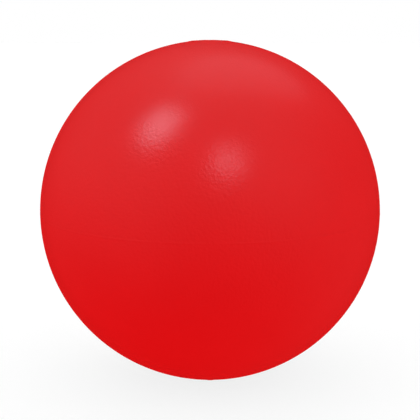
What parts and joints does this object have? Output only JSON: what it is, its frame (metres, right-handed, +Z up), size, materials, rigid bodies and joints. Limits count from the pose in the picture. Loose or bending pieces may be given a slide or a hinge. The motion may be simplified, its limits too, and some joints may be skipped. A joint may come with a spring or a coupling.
{
  "type": "stress ball",
  "caption": "Round squeezable foam stress ball with a satin red coat and a small trimmed flat underneath that it rests on.",
  "frame": {"origin": "middle of the small flat that the ball rests on", "axes": "+Z up through the ball's centre, square to the parting plane; X and Y run through the vent pips"},
  "size_m": [0.065, 0.065, 0.0647],
  "materials": {
    "lacquer": "satin",
    "foam_skin": "matte",
    "foam": "matte open-cell foam"
  },
  "bodies": {
    "lower_half": {"lower_coat": "lacquer", "parting_bead": "lacquer", "lower_skin": "foam_skin", "foam_core": "foam", "gate_stub": "foam", "vent_pips": "foam"},
    "upper_half": {"upper_coat": "lacquer", "upper_skin": "foam_skin"}
  },
  "joints": [
    {"name": "squeeze", "type": "slide", "parent": "lower_half", "child": "upper_half", "axis": [0, 0, -1], "range_m": [0, 0.024], "stiffness_N_per_m": 2500, "deforming": ["lower_coat", "parting_bead", "lower_skin", "foam_core", "gate_stub", "vent_pips"]}
  ]
}
